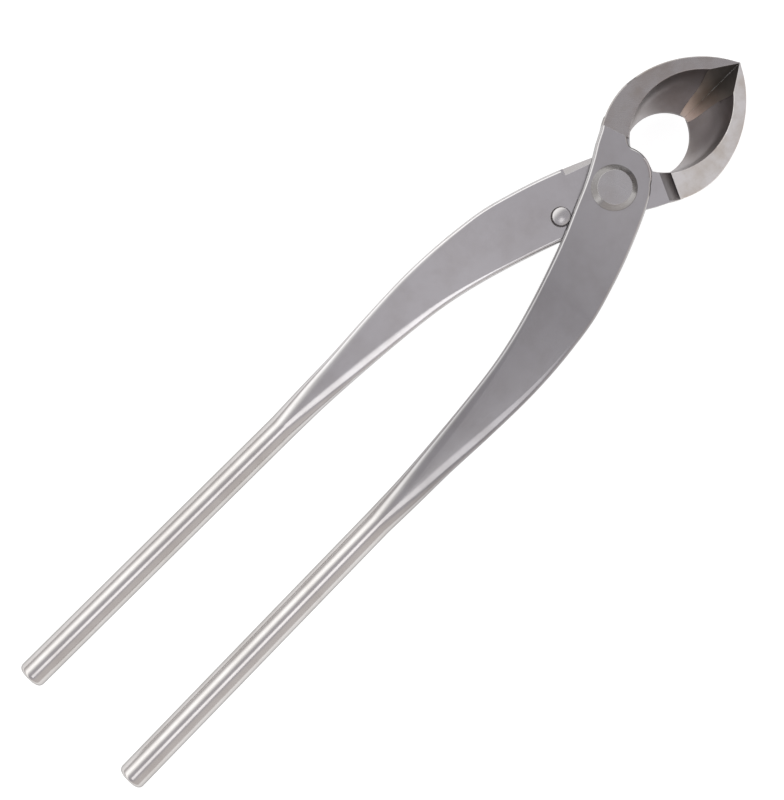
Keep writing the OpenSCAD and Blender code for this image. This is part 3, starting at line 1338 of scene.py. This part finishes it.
@dataclass
class Studio:
    """A plain pale floor in a white tent, with a grey opening above for the camera.

    Places and sizes are in millimetres from the origin, the middle of the rivet's head.
    """

    eye: Point = (-2.45, -86.5, 597.0)
    picture_turn: float = 44.7
    view_height: float = 225.7
    floor_z: float = -19.4
    floor_glow: float = 0.85
    tent_strength: float = 1.65
    box_at: Point = (402, -285, 1500)
    box_size: Spot = (544, 690)
    box_power: float = 1.2

    def floor(self) -> None:
        """Lays a smooth white acrylic sheet, lit from below so that shadows all but vanish."""
        bm = bmesh.new()
        bmesh.ops.create_grid(bm, x_segments=2, y_segments=2, size=3.0)
        bmesh.ops.translate(bm, verts=bm.verts, vec=(0, 0, self.floor_z * MM))
        mesh = bpy.data.meshes.new("floor")
        bm.to_mesh(mesh)
        bm.free()
        sheet = bpy.data.objects.new("floor", mesh)
        bpy.context.scene.collection.objects.link(sheet)
        material = bpy.data.materials.new("white_acrylic_sheet")
        material.use_nodes = True
        shader = material.node_tree.nodes["Principled BSDF"]
        for name, value in (
            ("Base Color", linear("#9a9a9a")), ("Roughness", 0.7),
            ("Emission Color", linear("#ffffff")), ("Emission Strength", self.floor_glow),
        ):
            shader.inputs[name].default_value = value
        mesh.materials.append(material)

    def tent(self) -> None:
        """Shades the tent from side to side.

        A stop at 0 is level with the tool towards -X, one at 0.5 straight above it, and one
        at 1 level with it towards +X.
        """
        world = bpy.data.worlds.new("tent")
        bpy.context.scene.world = world
        world.use_nodes = True
        tree = world.node_tree
        tree.nodes.clear()
        way = add(tree, "SeparateXYZ", None, Vector=add(tree, "TexCoord").outputs["Generated"])
        side, up = way.outputs["X"], way.outputs["Z"]
        angle = add(tree, "Math", {"operation": "ARCTAN2"}, i0=side, i1=up)
        share = add(
            tree, "MapRange", None, Value=angle.outputs[0],
            From_Min=-math.pi / 2, From_Max=math.pi / 2,
        )
        light = ramp(tree, share.outputs["Result"], [
            (0.00, "#9c9a9a"), (0.056, "#a5a3a3"), (0.094, "#acaaaa"), (0.133, "#c8c6c6"),
            (0.167, "#eaeaea"), (0.211, "#fefefe"), (0.278, "#ffffff"), (0.311, "#f0f0f0"),
            (0.339, "#d6d6d6"), (0.378, "#b4b4b4"), (0.417, "#98969a"), (0.667, "#98969a"),
            (0.75, "#aeaaa9"), (1.00, "#b0acab"),
        ])
        back = add(tree, "Background", None, Color=light, Strength=self.tent_strength)
        add(tree, "OutputWorld", None, Surface=back.outputs["Background"])

    def lamp(self) -> None:
        """Hangs a soft box to the right, over the handles, which faces straight down."""
        data = bpy.data.lights.new("handle_box", "AREA")
        data.shape = "RECTANGLE"
        data.size, data.size_y = (value * MM for value in self.box_size)
        data.energy = self.box_power
        lamp = bpy.data.objects.new("handle_box", data)
        lamp.location = [value * MM for value in self.box_at]
        lamp.visible_camera = False
        bpy.context.scene.collection.objects.link(lamp)

    def camera(self) -> None:
        """Looks straight down, turned so that the tool lies from corner to corner."""
        data = bpy.data.cameras.new("camera")
        data.sensor_fit = "VERTICAL"
        data.sensor_height = 24.0
        distance = self.eye[2] + JOINT.head_top_z / 2
        data.lens = data.sensor_height * distance / self.view_height
        data.clip_start, data.clip_end = 0.01, 10.0
        camera = bpy.data.objects.new("camera", data)
        camera.location = [value * MM for value in self.eye]
        camera.rotation_euler = (0, 0, math.radians(self.picture_turn))
        bpy.context.scene.collection.objects.link(camera)
        bpy.context.scene.camera = camera

    def build(self) -> None:
        """Sets up the floor, the light and the camera."""
        bpy.context.scene.view_settings.view_transform = "Standard"
        self.floor()
        self.tent()
        self.lamp()
        self.camera()


def main() -> None:
    """Builds every piece round the frame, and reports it."""
    logging.basicConfig(level=logging.INFO, format="%(name)s %(message)s")
    front = (FRONT_LEVER_PAINTED_SHADING, LEFT_FACE_PAINTED_SHADE, BOWL_STEEL_PAINTED_SHADING, BEVEL_STEEL_PAINTED_SHADING, COVE_STEEL_PAINTED_SHADE)
    back = (BACK_LEVER_PAINTED_LIGHT, RIGHT_FACE_PAINTED_LIGHT, BOWL_STEEL_PAINTED_SHADING, BEVEL_STEEL_PAINTED_SHADING, COVE_STEEL_PAINTED_SHADE)
    rivet = (RIVET_STEEL, RIVET_BEVEL_PAINTED_SHADE)
    for made, name, body, slot, finishes in (
        (FrontLever, "front_lever", "front_half", "forged_steel", front),
        (BackLever, "back_lever", "back_half", "forged_steel", back),
        (PivotRivet, "pivot_rivet", "back_half", "rivet_steel", rivet),
        (StopPin, "stop_pin", "back_half", "pin_steel", (PIN_STEEL,)),
    ):
        made(name + "_finished", body, name, slot, finishes).build()
    Studio().build()
    bpy.context.view_layer.update()


if __name__ == "__main__":
    main()
